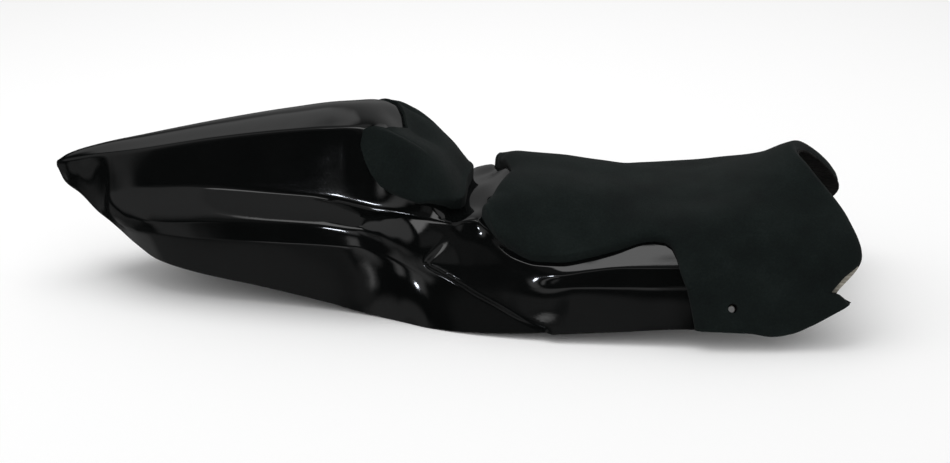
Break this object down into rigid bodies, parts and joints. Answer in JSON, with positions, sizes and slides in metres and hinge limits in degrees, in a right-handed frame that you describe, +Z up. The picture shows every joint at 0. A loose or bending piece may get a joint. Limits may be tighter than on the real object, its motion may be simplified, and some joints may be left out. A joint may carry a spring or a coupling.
{
  "type": "racing seat unit",
  "caption": "One-piece laminate racing seat unit with a pointed tail hump, side pods, open underside, glued foam rider's pad and foam back stop.",
  "frame": {"origin": "middle of the footprint, on the ground under the trimmed bottom edge", "axes": "+X forward, from the tail to the tank end; +Z up; the left and right halves mirror each other across the plane Y = 0"},
  "size_m": [0.902, 0.3282, 0.2101],
  "materials": {
    "gelcoat": "gloss",
    "foam": "matte"
  },
  "bodies": {
    "root": {"seat_shell": "gelcoat", "seat_pad": "foam", "bum_stop_pad": "foam"}
  },
  "joints": []
}
